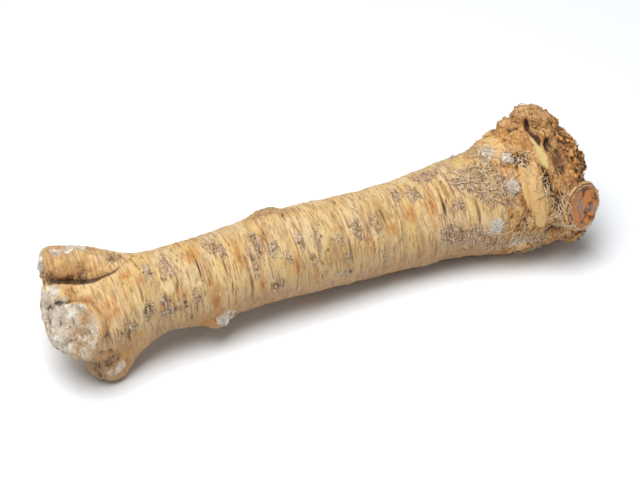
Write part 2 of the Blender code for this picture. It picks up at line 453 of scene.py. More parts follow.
# ---- Relief and masks of the skin ------------------------------------------------------------------------
def zone_masks(place, normals):
    """Where each kind of surface lies, as numbers from 0 to 1."""
    wander = 5 * rough_noise(place.rings(14, 20), 11)
    crown = ease(place.along + wander, 82, 98)
    height, reach = disc_place(place.points, STUB_MIDDLE, STUB_OUT)
    near_stub = ease(height, -12, -7)
    ragged = 0.7 * slope_noise(place.points / 4.0, 14)
    stub_face = ease(-reach + ragged, -STUB_FACE - 0.5, -STUB_FACE + 0.5) * near_stub
    stub_side = ease(-reach + ragged, -STUB_RIM - 1.0, -STUB_RIM) * near_stub * (1 - stub_face)
    heel_height, heel_reach = disc_place(place.points, HEEL_MIDDLE, HEEL_OUT)
    facing = normals @ unit(HEEL_OUT)
    heel = ease(facing, 0.5, 0.75) * ease(heel_height, -6, -3) * ease(-heel_reach, -20, -17)
    chalk = ease(place.balls(CHALK_SPOTS, 15), 0.3, 0.6)
    grains = ease(place.along + 0.5 * wander, 124, 131)
    smooth = (1 - stub_face) * (1 - stub_side)
    return {
        "bare": smooth * (1 - heel),
        "crown": crown * smooth,
        "stub_face": stub_face,
        "stub_side": stub_side,
        "heel": heel,
        "cut": np.maximum(heel, chalk * 0.9),
        "granular": grains * smooth,
        "reach": reach,
        "near_stub": near_stub,
    }


# Rings: height, pitch along the root, length round it, and the noise's seed.
RING_LAYERS = ((0.40, 7.0, 26.0, 21), (0.26, 2.6, 16.0, 22), (0.15, 1.3, 9.0, 23))
ROPE_HEIGHT = 1.5
ROPE_BASE = 0.6
SLIT_DEPTH = 0.5
SLIT_WIDTH = 0.09
PIT_DEPTH = 2.4
WOOL_HEIGHT = 0.9
CREASE_DEPTH = 0.9
BROKEN_HEIGHT = 0.7


def ring_relief(place):
    """Rings round the root: slope noise squeezed along it to three pitches, the finest the weakest."""
    layers = [height * slope_noise(place.rings(pitch, length), seed)
              for height, pitch, length, seed in RING_LAYERS]
    return sum(layers)


def rope_relief(place):
    """Rope-like ridges round the root, where it was once squeezed: narrow valleys between rounded tops."""
    ropes = ease(place.marks(ROPES, 8.0, 36), 0.15, 0.6)
    folds = ease(crease_noise(place.rings(2.8, 22.0), 37, octaves=1), 0.0, 0.4)
    return ROPE_HEIGHT * ropes * (folds - ROPE_BASE)


def slit_relief(place):
    """Narrow grooves round the root, in patches: each is a bell around the noise's own zero line."""
    patches = ease(rough_noise(place.rings(16.0, 14.0), 24), 0.05, 0.4)
    return -SLIT_DEPTH * patches * bell(slope_noise(place.rings(2.0, 9.0), 25) / SLIT_WIDTH)


def cleft_relief(place):
    """Clefts: for each stretch of a line, a bell across it, its depth running evenly between its ends."""
    deepest = np.zeros(len(place.points))
    for width, line in CLEFTS:
        line = np.array(line, float)
        for start, end in zip(line[:-1], line[1:]):
            run = end[:3] - start[:3]
            share = np.clip((place.points - start[:3]) @ run / (run @ run), 0, 1)
            away = np.linalg.norm(place.points - start[:3] - share[:, None] * run, axis=1)
            depth = start[3] + share * (end[3] - start[3])
            deepest = np.maximum(deepest, depth * bell(away / width))
    return -deepest


def scar_relief(place, scars):
    """A scar stands up as a low lens, broken into crumbs, with slits across it that follow the rings."""
    crumbs = rough_noise(place.points / 1.7, 31)
    slits = bell(slope_noise(place.rings(1.8, 9.0), 32) / 0.16)
    return scars * (0.45 + 0.55 * crumbs - 0.4 * slits)


def ledge_relief(place):
    """Old leaf bases: the skin climbs to each ledge over its ramp and drops at the edge."""
    wobble = 2.4 * slope_noise(place.rings(30.0, 17.0), 41)
    total = np.zeros(len(place.points))
    for number, (along, height, ramp) in enumerate(LEDGES):
        run = (place.along + wobble - along) / ramp
        share = ease(slope_noise(place.rings(60.0, 14.0), 50 + number), -0.25, 0.35)
        total += height * share * np.clip(1 + run, 0, 1) * (1 - ease(run, -0.02, 0.06))
    return total


def crown_relief(place, straps):
    """The crown's bark: fibres that lie round the root, torn into scales and pits, calmer on the straps."""
    fibres = 0.6 * rough_noise(place.rings(2.2, 9.0), 61)
    scales = 1.3 * rough_noise(place.rings(7.0, 12.0), 62, octaves=2)
    holes = -1.3 * bell(crease_noise(place.rings(5.0, 8.0), 63, octaves=2) / 0.14)
    crumbs = 0.5 * rough_noise(place.points / 1.5, 64, octaves=2)
    return (fibres + scales + holes + crumbs) * (1 - 0.6 * straps) + 0.9 * straps


def stub_relief(place, zones):
    """The shoot stub: a dished face inside rings that step down to a groove round its foot."""
    reach = zones["reach"] + 0.7 * slope_noise(place.points / 5.0, 71)
    inside = ease(-reach, -STUB_RIM - 1, -STUB_RIM + 1)
    dish = -1.7 * np.clip(1 - (reach / STUB_FACE) ** 2, 0, 1)
    lip = 0.8 * bell((reach - STUB_FACE - 1.0) / 1.2)
    rings = 0.24 * np.sin(TURN * reach / 1.9)
    rings *= ease(reach, STUB_FACE, STUB_FACE + 1) * inside
    groove = -1.6 * bell((reach - STUB_RIM - 1.4) / 1.5)
    rough = 0.35 * rough_noise(place.points / 2.2, 72) * inside
    return zones["near_stub"] * (dish + lip + rings + groove + rough)


def heel_relief(place, zones):
    """The old cut: low waves, and a swirl of shallow grooves around a point near its edge."""
    swirl_middle = np.array(HEEL_MIDDLE) + (4.0, -6.0, 2.5)
    angle = disc_angle(place.points, swirl_middle, HEEL_OUT)
    _, reach = disc_place(place.points, swirl_middle, HEEL_OUT)
    swirl = 0.5 * np.sin(TURN * reach / 3.4 + angle + 1.6 * slope_noise(place.points / 4.0, 81))
    waves = 0.8 * slope_noise(place.points / 6.0, 82)
    cracks = -0.35 * bell(slope_noise(place.points / 6.0, 84) / 0.07)
    crust = 0.3 * rough_noise(place.points / 1.8, 83)
    height, from_axis = disc_place(place.points, HEEL_MIDDLE, HEEL_OUT)
    neck = ease(-from_axis, -25, -21) * (1 - zones["heel"])
    rim = (0.9 * bell((height + 2.2) / 1.8) - 1.7 * bell((height + 8.0) / 3.0)) * neck
    return rim + zones["cut"] * (swirl * bell(reach / 9.0) + 1.2 * waves + 1.3 * crust + 1.6 * cracks)


# Oval masks: marks, how coarsely their edges are torn and by which seed, and the bell heights at which the
# mask starts and is full.
OVAL_MASKS = {
    "strap": (STRAPS, 5.0, 16, 0.3, 0.5),
    "green": (GREEN_STRAPS, 5.0, 17, 0.3, 0.5),
    "pit": (PITS, 4.0, 18, 0.3, 0.65),
    "wool": (WOOLS, 3.0, 19, 0.25, 0.6),
    "grey": (GREYS, 5.0, 20, 0.2, 0.7),
}


def skin_masks(place, zones):
    """Every mask that the skin's finish reads, as numbers from 0 to about 1."""
    bare = zones["bare"]
    masks = {name: ease(place.marks(marks, blur, seed), low, high)
             for name, (marks, blur, seed, low, high) in OVAL_MASKS.items()}
    for name in ("strap", "pit", "wool", "grey"):
        masks[name] = masks[name] * bare
    masks["pit"] = masks["pit"] * (1 - masks["strap"])
    masks["scurf"] = place.marks(SCARS + HIDDEN_SCARS, 3.0, 12) * bare
    masks["crease"] = place.marks(CREASES, 6.0, 28) * bare
    # Stains, and with them the painted shade under the finger.
    masks["stain_and_shade"] = np.maximum(place.marks(STAINS, 4.0, 13) * bare, place.balls(AMBER_STAIN_AND_SHADE_SPOTS, 26))
    # Brown patches, partly painted shade under the finger.
    masks["brown_patch_and_shade"] = place.balls(BROWN_PATCH_AND_SHADE_SPOTS, 27)
    masks["bud"] = ease(place.balls(BUD_SPOTS, 30), 0.25, 0.6)
    masks["scaly"] = place.balls(SCALY_SPOTS, 35)
    masks["swirl"] = place.balls(SWIRL_SPOTS, 34)
    for name in ("crown", "cut", "stub_face", "stub_side", "granular"):
        masks[name] = zones[name]
    masks["reach"] = zones["reach"] / STUB_RIM
    return masks


def skin_relief(place, zones, masks):
    """How far each point of the skin stands out, in millimetres: every kind of relief in its own place,
    fading to nothing where the root rests on the table."""
    bare, crown = zones["bare"], zones["crown"]
    calm = np.maximum(masks["strap"], masks["green"])
    relief = (ring_relief(place) * (0.35 + 0.65 * (1 - crown)) + slit_relief(place) * (1 - crown)) * bare
    relief += rope_relief(place) * bare * (1 - crown)
    relief += scar_relief(place, np.maximum(masks["scurf"], 0.5 * masks["grey"]))
    relief += ledge_relief(place) * bare
    relief += crown_relief(place, calm) * crown * (1 - 0.6 * masks["bud"])
    torn_out = -PIT_DEPTH * masks["pit"] * crown
    relief += torn_out + WOOL_HEIGHT * masks["wool"] - CREASE_DEPTH * masks["crease"]
    relief += BROKEN_HEIGHT * masks["brown_patch_and_shade"] * rough_noise(place.points / 2.6, 29)
    relief += stub_relief(place, zones)
    relief += heel_relief(place, zones)
    relief += cleft_relief(place)
    return relief * ease(place.points[:, 2], 0.4, 3.5)


def write_attribute(mesh, name, values):
    """Keeps one number, or one vector, for each of the mesh's points."""
    if values.ndim == 1:
        made = mesh.attributes.new(name, "FLOAT", "POINT")
        made.data.foreach_set("value", values.astype(np.float32))
    else:
        made = mesh.attributes.new(name, "FLOAT_VECTOR", "POINT")
        made.data.foreach_set("vector", values.astype(np.float32).ravel())


def make_skin(solid):
    """The root's visible skin, with its relief and the masks for its finish. Also returns its Place."""
    mesh = grown_skin(solid)
    points, normals, edges = mesh_arrays(mesh)
    place = Place(points)
    zones = zone_masks(place, normals)
    masks = skin_masks(place, zones)
    shaped = points + normals * skin_relief(place, zones, masks)[:, None]
    masks["pit"] = masks["pit"] * zones["crown"]
    shaped[:, 2] = np.maximum(shaped[:, 2], TABLE_HEIGHT)
    mesh.vertices.foreach_set("co", (shaped * MM).astype(np.float32).ravel())
    mesh.update()
    mesh.shade_smooth()
    # How deep each point lies below the smoothed skin; the finish paints shade there.
    masks["painted_hollow_shade"] = hollowness(shaped, normals, edges, HOLLOW_PASSES)
    masks["grain"] = place.straight
    for name, values in masks.items():
        write_attribute(mesh, name, values)
    skin = bpy.data.objects.new("root_skin", mesh)
    mesh.name = "root_skin"
    link(skin)
    return skin, place, masks


# ---- Finishes --------------------------------------------------------------------------------------------
def paint(red, green, blue):
    """A linear colour from its everyday 0-255 values: the display curve taken off each channel."""
    share = np.array((red, green, blue)) / 255
    linear = np.where(share <= 0.04045, share / 12.92, ((share + 0.055) / 1.055) ** 2.4)
    return (*linear.tolist(), 1.0)


CREAM = paint(224, 197, 150)
BUTTER = paint(220, 184, 118)
TAN = paint(188, 154, 108)
DULL = paint(164, 132, 98)
AMBER = paint(198, 142, 76)
RUST = paint(156, 96, 52)
SCURF_GREY = paint(200, 176, 146)
SCURF_BROWN = paint(168, 136, 102)
CRUMB = paint(228, 210, 182)
SLIT = paint(100, 66, 44)
OCHRE = paint(200, 146, 84)
BARK = paint(134, 84, 48)
STRAW = paint(222, 184, 128)
DEEP = paint(56, 34, 22)
CHALK = paint(230, 222, 206)
CHALK_GREY = paint(184, 170, 150)
FACE_ORANGE = paint(222, 138, 58)
FACE_BROWN = paint(106, 58, 34)
# Grey of the stub face, partly a painted highlight.
FACE_GREY_AND_HIGHLIGHT = paint(174, 150, 134)
SCALE_PINK = paint(190, 146, 104)
OLIVE = paint(168, 132, 78)
WOOL = paint(236, 230, 220)
PINK_BROWN = paint(180, 136, 98)
# Painted shade on the root's underside, partly also brown dirt.
UNDERSIDE_SHADE_AND_DIRT = paint(158, 116, 80)
CORE_ORANGE = paint(212, 146, 70)
KNOB_TAN = paint(210, 168, 116)
GREEN = paint(200, 190, 124)

BODY_ROUGHNESS = 0.55
CROWN_ROUGHENING = 0.2
WAXINESS = 0.3
BUMP_STRENGTH = 0.9
BUMP_HEIGHT = 0.55
SKIN_SHINE = 0.35
TRIMMING_SHINE = 0.3


class Graph:
    """A node tree, with short calls that add a node, wire it and give back its output."""

    def __init__(self, tree):
        self.tree = tree

    def wire(self, value, socket):
        """Links an output to the socket, or sets the socket's own value."""
        if isinstance(value, bpy.types.NodeSocket):
            self.tree.links.new(value, socket)
        else:
            socket.default_value = value

    def node(self, kind, inputs=(), **settings):
        """A node with those settings, and (socket, value) pairs wired in."""
        made = self.tree.nodes.new(kind)
        for name, value in settings.items():
            setattr(made, name, value)
        for socket, value in inputs:
            self.wire(value, made.inputs[socket])
        return made

    def attribute(self, name, output="Fac"):
        """One of the skin's own masks."""
        return self.node("ShaderNodeAttribute", attribute_name=name).outputs[output]

    def math(self, operation, first, second=0.0):
        """The operation on two numbers."""
        return self.node("ShaderNodeMath", ((0, first), (1, second)), operation=operation).outputs[0]

    def times(self, first, second):
        """The product of two numbers."""
        return self.math("MULTIPLY", first, second)

    def step(self, value, low, high, start=0.0, end=1.0):
        """Runs smoothly from start to end as value goes from low to high."""
        inputs = (("Value", value), ("From Min", low), ("From Max", high))
        inputs += (("To Min", start), ("To Max", end))
        return self.node("ShaderNodeMapRange", inputs, interpolation_type="SMOOTHSTEP").outputs["Result"]

    def mix(self, share, first, second):
        """The first colour at share 0, the second at share 1, and an even blend between them."""
        inputs = (("Factor", share), (6, first), (7, second))
        return self.node("ShaderNodeMix", inputs, data_type="RGBA").outputs[2]

    def over(self, under, top, mask, strength):
        """The top colour laid over the one under it, by mask times strength."""
        return self.mix(self.times(mask, strength), under, top)

    def stretched(self, vector, scale):
        """A vector with each of its parts multiplied by the scale's."""
        return self.node("ShaderNodeMapping", (("Vector", vector), ("Scale", scale))).outputs[0]

    def noise(self, vector, scale=1.0, detail=3.0, roughness=0.5, distortion=0.0):
        """Smooth noise around 0.5."""
        inputs = (("Vector", vector), ("Scale", scale), ("Detail", detail), ("Roughness", roughness))
        inputs += (("Distortion", distortion),)
        return self.node("ShaderNodeTexNoise", inputs).outputs[0]

    def group(self, tree, **inputs):
        """The outputs of a placed node group, with each keyword wired to the input of that name."""
        return self.node("ShaderNodeGroup", inputs.items(), node_tree=tree).outputs

    def millimetres(self):
        """The object's own coordinates in millimetres."""
        here = self.node("ShaderNodeTexCoord").outputs["Object"]
        return self.stretched(here, (1 / MM, 1 / MM, 1 / MM))


def new_group(name, inputs, outputs):
    """An empty shader group with those sockets: (name, kind, default) in, and (name, kind) out."""
    tree = bpy.data.node_groups.new(name, "ShaderNodeTree")
    for label, kind, default in inputs:
        socket = tree.interface.new_socket(label, in_out="INPUT", socket_type=kind)
        if default is not None:
            socket.default_value = default
    for label, kind in outputs:
        tree.interface.new_socket(label, in_out="OUTPUT", socket_type=kind)
    graph = Graph(tree)
    return tree, graph, graph.node("NodeGroupInput").outputs, graph.node("NodeGroupOutput").inputs


NUMBER = "NodeSocketFloat"
VECTOR = "NodeSocketVector"


# The noise level above which nothing is covered, how fast it falls with Coverage, and a line's soft edge.
RINGS_BARE = 0.78
BLOTCHES_BARE = 0.68
COVER_SLOPE = 0.36
RING_EDGE = 0.06


def rings_group():
    """Growth rings: noise squeezed along the root by Pitch and drawn out round it by Length.
    Line is 1 in the thin dark lines where the noise passes a threshold, and Tone is the noise itself."""
    tree, graph, given, result = new_group(
        "growth rings",
        (("Vector", VECTOR, None), ("Pitch", NUMBER, 1.0), ("Length", NUMBER, 9.0),
         ("Coverage", NUMBER, 0.5)),
        (("Tone", NUMBER), ("Line", NUMBER)),
    )
    across = graph.math("DIVIDE", 1.0, given["Pitch"])
    around = graph.math("DIVIDE", 1.0, given["Length"])
    scale = graph.node("ShaderNodeCombineXYZ", ((0, across), (1, around), (2, around))).outputs[0]
    tone = graph.noise(graph.stretched(given["Vector"], scale), 1.0, 3.0, 0.55, 0.15)
    low = graph.math("SUBTRACT", RINGS_BARE, graph.times(given["Coverage"], COVER_SLOPE))
    high = graph.math("ADD", low, RING_EDGE)
    graph.wire(tone, result["Tone"])
    graph.wire(graph.step(tone, low, high), result["Line"])
    return tree


def crumbs_group():
    """Corky crumbs: a cell pattern roughened by noise. Crumb is 1 on a crumb's top, Gap 1 between them."""
    tree, graph, given, result = new_group(
        "corky crumbs",
        (("Vector", VECTOR, None), ("Size", NUMBER, 1.0)),
        (("Crumb", NUMBER), ("Gap", NUMBER)),
    )
    scale = graph.math("DIVIDE", 1.0, given["Size"])
    place = given["Vector"]
    warp = graph.node("ShaderNodeTexNoise", (("Vector", place), ("Scale", scale), ("Detail", 2.0)))
    both = ((0, place), (1, warp.outputs["Color"]))
    shifted = graph.node("ShaderNodeVectorMath", both, operation="ADD")
    cells = graph.node("ShaderNodeTexVoronoi", (("Vector", shifted.outputs[0]), ("Scale", scale)))
    distance = cells.outputs["Distance"]
    graph.wire(graph.step(distance, 0.38, 0.12), result["Crumb"])
    graph.wire(graph.step(distance, 0.44, 0.66), result["Gap"])
    return tree


def blotch_group():
    """Blotches: noise of a Size, softly cut off so that more Coverage blotches more of the surface."""
    tree, graph, given, result = new_group(
        "blotches",
        (("Vector", VECTOR, None), ("Size", NUMBER, 10.0), ("Coverage", NUMBER, 0.5),
         ("Softness", NUMBER, 0.1)),
        (("Mask", NUMBER),),
    )
    tone = graph.noise(given["Vector"], graph.math("DIVIDE", 1.0, given["Size"]), 4.0, 0.6)
    middle = graph.math("SUBTRACT", BLOTCHES_BARE, graph.times(given["Coverage"], COVER_SLOPE))
    low = graph.math("SUBTRACT", middle, given["Softness"])
    high = graph.math("ADD", middle, given["Softness"])
    graph.wire(graph.step(tone, low, high), result["Mask"])
    return tree


class Patterns:
    """The three shared patterns, placed in one finish's graph."""

    def __init__(self, graph, groups):
        self.graph = graph
        self.groups = groups

    def rings(self, grain, pitch, length, coverage):
        """Growth rings: their Tone and their Line."""
        return self.graph.group(self.groups["rings"], Vector=grain, Pitch=pitch, Length=length,
                                Coverage=coverage)

    def crumbs(self, spot, size):
        """Corky crumbs: their Crumb and their Gap."""
        return self.graph.group(self.groups["crumbs"], Vector=spot, Size=size)

    def blotches(self, place, size, coverage, softness, scale=(1, 1, 1)):
        """The mask of blotches, in coordinates stretched by the scale."""
        place = self.graph.stretched(place, scale)
        return self.graph.group(self.groups["blotches"], Vector=place, Size=size, Coverage=coverage,
                                Softness=softness)["Mask"]


def new_finish(name):
    """A material with one Principled shader. Returns the material, its graph and the shader."""
    material = bpy.data.materials.new(name)
    material.use_nodes = True
    tree = material.node_tree
    tree.nodes.clear()
    graph = Graph(tree)
    shader = graph.node("ShaderNodeBsdfPrincipled")
    output = graph.node("ShaderNodeOutputMaterial")
    tree.links.new(shader.outputs[0], output.inputs["Surface"])
    return material, graph, shader


def body_colour(graph, grain, patterns):
    """Pale skin: cream and butter in soft blotches, drawn into rings, with thin dark slits in places.
    Also gives the finest rings' tone."""
    soft = patterns.blotches(grain, 13.0, 0.5, 0.16, (1, 0.6, 0.6))
    colour = graph.mix(soft, CREAM, BUTTER)
    rings = patterns.rings(grain, 2.2, 20.0, 0.5)
    colour = graph.mix(graph.step(rings["Tone"], 0.5, 0.72, 0.0, 0.75), colour, TAN)
    colour = graph.over(colour, AMBER, patterns.rings(grain, 3.2, 11.0, 0.34)["Line"], 0.65)
    fine = patterns.rings(grain, 0.9, 9.0, 0.66)
    colour = graph.over(colour, RUST, fine["Line"], 0.6)
    dirt = patterns.blotches(grain, 9.0, 0.3, 0.1, (1, 0.4, 0.4))
    colour = graph.over(colour, PINK_BROWN, dirt, 0.4)
    dull_zone = patterns.blotches(grain, 11.0, 0.36, 0.07, (1, 0.5, 0.5))
    dull = patterns.rings(grain, 1.5, 7.0, 0.85)["Line"]
    colour = graph.over(colour, DULL, dull, graph.times(dull_zone, 0.6))
    slit_zone = patterns.blotches(grain, 9.0, 0.42, 0.08)
    slits = patterns.rings(grain, 1.1, 5.0, 0.55)["Line"]
    colour = graph.over(colour, SLIT, slits, graph.times(slit_zone, 0.8))
    crease = graph.step(graph.attribute("crease"), 0.2, 0.8, 0.0, 0.7)
    return graph.mix(crease, colour, SLIT), fine["Tone"]


def cork_colour(graph, grain, spot, patterns):
    """Scurf: grey-brown cork with dark slits that follow the rings, and pale crumbs."""
    cork = graph.mix(graph.step(graph.noise(spot, 0.3, 4.0, 0.6), 0.4, 0.62), SCURF_GREY, SCURF_BROWN)
    warm = graph.step(graph.noise(spot, 0.2, 3.0, 0.6, 0.5), 0.45, 0.6, 0.0, 0.7)
    cork = graph.mix(warm, cork, TAN)
    cork = graph.over(cork, SLIT, patterns.rings(grain, 1.1, 4.5, 0.6)["Line"], 0.85)
    crumbs = patterns.crumbs(spot, 1.3)
    cork = graph.over(cork, SLIT, crumbs["Gap"], 0.45)
    return graph.over(cork, CRUMB, crumbs["Crumb"], 0.6)


def torn(graph, name, grain, low=0.25, high=0.5):
    """The skin's mask of that name, with its edge torn along the rings."""
    ragged = graph.noise(graph.stretched(grain, (0.9, 0.3, 0.3)), 1.0, 5.0, 0.65)
    shifted = graph.math("ADD", graph.attribute(name), graph.step(ragged, 0.3, 0.7, -0.3, 0.3))
    return graph.step(shifted, low, high)


def crown_colour(graph, grain, spot, patterns):
    """Fibrous bark: ochre and straw fibres that lie round the crown over dark brown pits."""
    fibres = patterns.rings(grain, 1.6, 8.0, 0.5)
    colour = graph.mix(graph.step(fibres["Tone"], 0.4, 0.62), OCHRE, STRAW)
    colour = graph.over(colour, BARK, patterns.blotches(spot, 10.0, 0.45, 0.09), 0.5)
    orange = patterns.blotches(spot, 8.0, 0.35, 0.06, (1.2, 1, 1))
    colour = graph.over(colour, AMBER, orange, 0.65)
    crumbs = patterns.crumbs(spot, 1.8)
    colour = graph.over(colour, BARK, crumbs["Gap"], 0.45)
    colour = graph.over(colour, DEEP, patterns.rings(grain, 1.2, 4.5, 0.5)["Line"], 0.7)
    return graph.over(colour, STRAW, crumbs["Crumb"], 0.35)


def strap_colour(graph, grain, patterns):
    """Smooth leaf bases round the crown: cream and yellow fibres."""
    fibres = patterns.rings(grain, 1.3, 18.0, 0.45)
    colour = graph.mix(graph.step(fibres["Tone"], 0.4, 0.65), STRAW, BUTTER)
    broad = patterns.rings(grain, 4.0, 16.0, 0.5)
    colour = graph.mix(graph.step(broad["Tone"], 0.45, 0.65, 0.0, 0.55), colour, AMBER)
    return graph.over(colour, RUST, fibres["Line"], 0.6)


def granular_colour(graph, spot, patterns):
    """The broken core of the crown: orange grains with dark gaps."""
    crumbs = patterns.crumbs(spot, 2.3)
    colour = graph.mix(graph.step(graph.noise(spot, 0.14, 3.0), 0.4, 0.6), CORE_ORANGE, OCHRE)
    colour = graph.over(colour, DEEP, crumbs["Gap"], 0.95)
    colour = graph.over(colour, BARK, patterns.blotches(spot, 6.0, 0.36, 0.06), 0.75)
    return graph.over(colour, STRAW, crumbs["Crumb"], 0.55)


def cut_colour(graph, spot, patterns):
    """An old dried cut: chalk white with grey-brown scribbles, an ochre tinge and an olive swirl."""
    scribble = graph.noise(spot, 0.22, 5.0, 0.62, 1.4)
    line = graph.step(graph.math("ABSOLUTE", graph.math("SUBTRACT", scribble, 0.5)), 0.03, 0.0)
    colour = graph.mix(graph.step(graph.noise(spot, 0.2, 4.0, 0.6), 0.35, 0.65), CHALK, CHALK_GREY)
    colour = graph.over(colour, BARK, line, 0.75)
    colour = graph.over(colour, OCHRE, patterns.blotches(spot, 9.0, 0.3, 0.08), 0.45)
    swirl = graph.times(graph.attribute("swirl"), graph.step(scribble, 0.42, 0.56, 0.15, 1.0))
    return graph.over(colour, OLIVE, swirl, 0.9)


def stub_colours(graph, spot, patterns):
    """The stub's face, bright orange to dull brown with grey patches that are partly a painted highlight, and
    its ringed pale side, whose rings are the sine of eight turns per rim radius."""
    streaks = graph.noise(spot, 0.17, 5.0, 0.65, 1.0)
    face = graph.mix(graph.step(streaks, 0.46, 0.6), FACE_ORANGE, FACE_BROWN)
    # Grey blotches on the face: partly its own grey, partly a painted highlight.
    face = graph.over(face, FACE_GREY_AND_HIGHLIGHT, patterns.blotches(spot, 8.0, 0.4, 0.1), 0.6)
    wobble = graph.times(graph.noise(spot, 0.25, 3.0), 0.12)
    turns = graph.times(graph.math("ADD", graph.attribute("reach"), wobble), TURN * 8.0)
    side = graph.mix(graph.step(graph.math("SINE", turns), -0.9, 0.3), BARK, STRAW)
    patches = graph.step(graph.noise(spot, 0.3, 5.0, 0.65), 0.5, 0.62, 0.0, 0.7)
    return face, graph.mix(patches, side, BARK)


def bark_and_body(graph, grain, spot, patterns):
    """The skin's colour without its small patches: body, painted shade (partly brown dirt) on the underside,
    stains (partly painted shade under the finger), crown and cork. Also gives the finest rings' tone and the
    crown's share."""
    colour, tone = body_colour(graph, grain, patterns)
    height = graph.node("ShaderNodeSeparateXYZ", ((0, grain),)).outputs[2]
    # Painted shade, partly brown dirt: the colour goes towards the underside colour lower round the root.
    colour = graph.mix(graph.step(height, 16.0, -14.0, 0.0, 0.62), colour, UNDERSIDE_SHADE_AND_DIRT)
    drawn_out = graph.stretched(grain, (1.1, 0.13, 0.13))
    streak = graph.step(graph.noise(drawn_out, 1.0, 4.0, 0.6), 0.4, 0.6, 0.25, 0.95)
    # Amber and rust stains, which along the finger's cleft are painted shade.
    colour = graph.over(colour, AMBER, torn(graph, "stain_and_shade", grain, 0.25, 0.75), streak)
    colour = graph.over(colour, RUST, torn(graph, "stain_and_shade", grain, 0.7, 1.2), streak)
    cork = cork_colour(graph, grain, spot, patterns)
    crown = graph.step(graph.attribute("crown"), 0.25, 0.75)
    colour = graph.mix(crown, colour, crown_colour(graph, grain, spot, patterns))
    colour = graph.mix(torn(graph, "scurf", grain), colour, cork)
    return graph.over(colour, cork, torn(graph, "grey", grain, 0.3, 0.8), 0.85), tone, crown


def small_patches(graph, colour, grain, spot, patterns):
    """Lays the core, bud, straps, pits, scales, brown patches (partly painted shade under the finger), cuts,
    wool and stub over the colour.
    """
    colour = graph.mix(graph.attribute("granular"), colour, granular_colour(graph, spot, patterns))
    bud = graph.mix(graph.step(graph.noise(spot, 0.5, 5.0, 0.7), 0.46, 0.64), KNOB_TAN, BARK)
    colour = graph.over(colour, bud, graph.attribute("bud"), 0.8)
    strap = strap_colour(graph, grain, patterns)
    colour = graph.mix(torn(graph, "strap", grain, 0.3, 0.6), colour, strap)
    colour = graph.mix(graph.attribute("green"), colour, graph.mix(0.45, strap, GREEN))
    colour = graph.over(colour, DEEP, graph.attribute("pit"), 0.6)
    scaly = graph.mix(graph.step(graph.noise(spot, 0.35, 5.0, 0.65, 0.6), 0.4, 0.6), SCALE_PINK, TAN)
    scaly = graph.over(scaly, RUST, graph.step(graph.noise(spot, 0.4, 4.0, 0.6, 1.0), 0.5, 0.6), 0.7)
    colour = graph.over(colour, scaly, torn(graph, "scaly", spot, 0.3, 0.7), 0.75)
    dark = graph.mix(graph.step(graph.noise(spot, 0.45, 5.0, 0.7, 0.8), 0.42, 0.58), SCURF_BROWN, DEEP)
    # Brown patches, partly painted shade under the finger.
    colour = graph.over(colour, dark, torn(graph, "brown_patch_and_shade", spot, 0.3, 0.7), 0.8)
    colour = graph.mix(torn(graph, "cut", spot), colour, cut_colour(graph, spot, patterns))
    wool = graph.mix(graph.step(graph.noise(spot, 0.8, 5.0, 0.75), 0.38, 0.58), SCURF_BROWN, WOOL)
    colour = graph.mix(torn(graph, "wool", spot, 0.4, 0.8), colour, wool)
    face, side = stub_colours(graph, spot, patterns)
    colour = graph.mix(graph.attribute("stub_side"), colour, side)
    return graph.mix(graph.attribute("stub_face"), colour, face)


def skin_finish(groups):
    """The whole skin: colours darkened in the hollows as painted shade, a bump of rings and grain, a waxier
    stub face.
    """
    material, graph, shader = new_finish("horseradish_skin")
    patterns = Patterns(graph, groups)
    grain = graph.attribute("grain", "Vector")
    spot = graph.millimetres()
    colour, tone, crown = bark_and_body(graph, grain, spot, patterns)
    colour = small_patches(graph, colour, grain, spot, patterns)
    # Painted shade: the deeper a point lies below the skin around it, the more its colour goes to DEEP.
    colour = graph.mix(graph.step(graph.attribute("painted_hollow_shade"), 0.3, 1.2, 0.0, 0.85), colour, DEEP)
    graph.wire(colour, shader.inputs["Base Color"])
    rough = graph.math("ADD", graph.times(crown, CROWN_ROUGHENING), BODY_ROUGHNESS)
    rough = graph.math("SUBTRACT", rough, graph.times(graph.attribute("stub_face"), WAXINESS))
    graph.wire(rough, shader.inputs["Roughness"])
    height = graph.math("ADD", tone, graph.noise(spot, 1.2, 4.0, 0.6))
    inputs = (("Height", height), ("Strength", BUMP_STRENGTH), ("Distance", BUMP_HEIGHT * MM))
    graph.wire(graph.node("ShaderNodeBump", inputs).outputs[0], shader.inputs["Normal"])
    shader.inputs["Specular IOR Level"].default_value = SKIN_SHINE
    return material


def plain_finish(name, first, second, roughness=0.8):
    """A dull finish between two colours, by a noise a few millimetres across."""
    material, graph, shader = new_finish(name)
    share = graph.step(graph.noise(graph.millimetres(), 0.4, 3.0), 0.35, 0.65)
    graph.wire(graph.mix(share, first, second), shader.inputs["Base Color"])
    shader.inputs["Roughness"].default_value = roughness
    shader.inputs["Specular IOR Level"].default_value = TRIMMING_SHINE
    return material


# ---- Fibres, flakes and crumbs ---------------------------------------------------------------------------
STRAND_STEPS = 9
STRAND_SIDES = 3
SEARCH = 6
FLAKE_THICKNESS = 0.25


